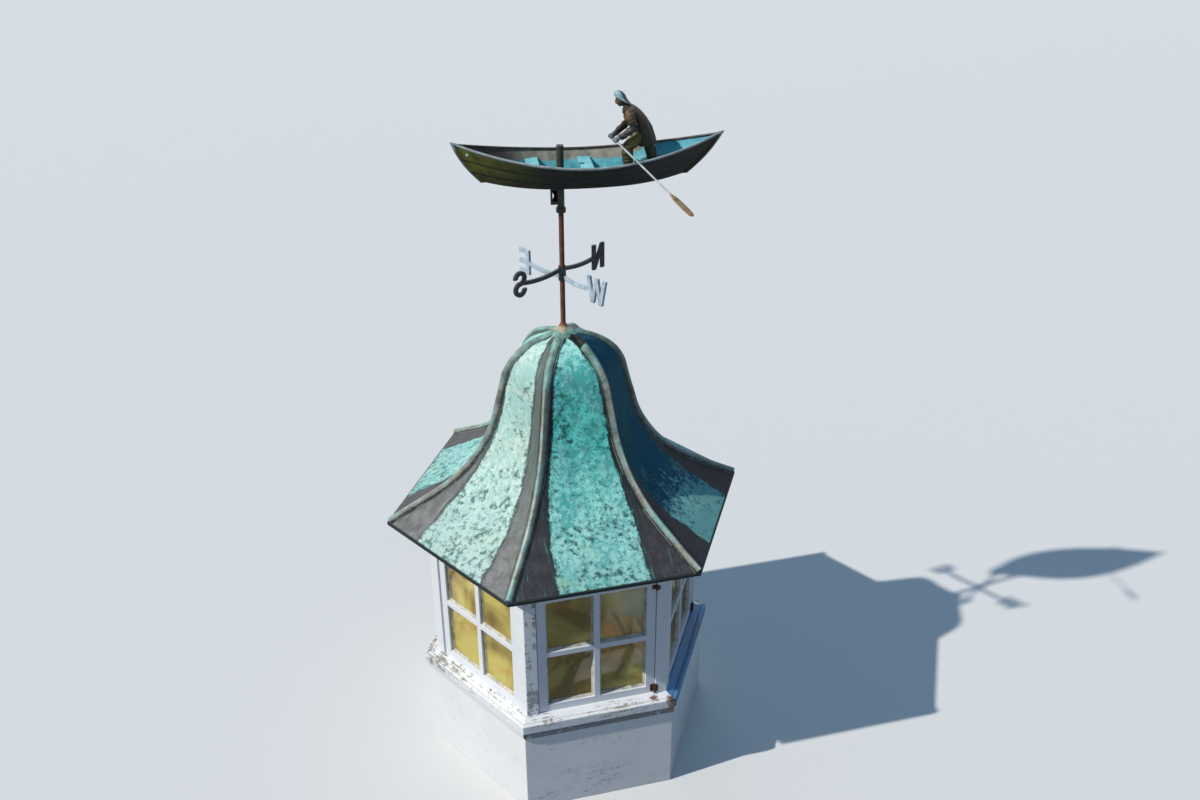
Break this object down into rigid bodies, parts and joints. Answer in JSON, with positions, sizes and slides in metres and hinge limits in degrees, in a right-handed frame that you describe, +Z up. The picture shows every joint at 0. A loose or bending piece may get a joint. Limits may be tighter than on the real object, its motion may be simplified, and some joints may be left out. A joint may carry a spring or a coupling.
{
  "type": "barn cupola",
  "caption": "Windowed barn cupola with a bell-shaped copper roof, a compass mast and a freely turning rowing-boat weathervane.",
  "frame": {"origin": "centre of the base at floor level, under the mast", "axes": "+Z up along the mast, -Y out of the front window, corners of the plan on X"},
  "size_m": [1.224, 1.073, 2.352],
  "materials": {
    "painted_board": "weathered white paint",
    "weathered_board": "peeling white paint over grey wood",
    "painted_post": "weathered white paint",
    "painted_sash": "white paint",
    "old_glass": "hazy old glass",
    "green_copper": "verdigris",
    "rib_copper": "grey-green patina",
    "stained_copper": "rust-stained patina",
    "bare_timber": "unpainted",
    "rusty_iron": "rusted",
    "dark_bronze": "dark patina",
    "pale_bronze": "pale patina",
    "hull_copper": "dark patina",
    "rail_copper": "pale patina",
    "thwart_copper": "turquoise patina",
    "oar_metal": "dull",
    "figure_bronze": "olive-brown patina",
    "hat_copper": "pale patina"
  },
  "bodies": {
    "cupola": {"base_wall_front": "painted_board", "base_wall_front_right": "painted_board", "base_wall_back_right": "painted_board", "base_wall_back": "painted_board", "base_wall_back_left": "painted_board", "base_wall_front_left": "painted_board", "apron": "weathered_board", "sill": "weathered_board", "corner_post_front_left": "painted_post", "corner_post_front_right": "painted_post", "corner_post_right": "painted_post", "corner_post_back_right": "painted_post", "corner_post_back_left": "painted_post", "corner_post_left": "painted_post", "window_front": "painted_sash", "window_front_right": "painted_sash", "window_back_right": "painted_sash", "window_back": "painted_sash", "window_back_left": "painted_sash", "window_front_left": "painted_sash", "window_glass": "old_glass", "window_heads": "painted_sash", "soffit": "painted_board", "roof_panel_front": "green_copper", "roof_panel_front_right": "green_copper", "roof_panel_back_right": "green_copper", "roof_panel_back": "green_copper", "roof_panel_back_left": "green_copper", "roof_panel_front_left": "green_copper", "hip_ribs": "rib_copper", "crown_cap": "stained_copper", "crown_block": "bare_timber", "mast": "rusty_iron", "compass_hub": "dark_bronze", "compass_north_south": "dark_bronze", "compass_east_west": "pale_bronze"},
    "vane": {"vane_tube": "dark_bronze", "boat_hull": "hull_copper", "boat_rail": "rail_copper", "boat_thwarts": "thwart_copper", "oar": "oar_metal", "sailor_legs": "figure_bronze", "sailor_coat": "figure_bronze", "sailor_head": "figure_bronze", "sailor_hat": "hat_copper"}
  },
  "joints": [
    {"name": "vane_spin", "type": "hinge", "parent": "cupola", "child": "vane", "pos_m": [0, 0, 2], "axis": [0, 0, 1], "continuous": true}
  ]
}
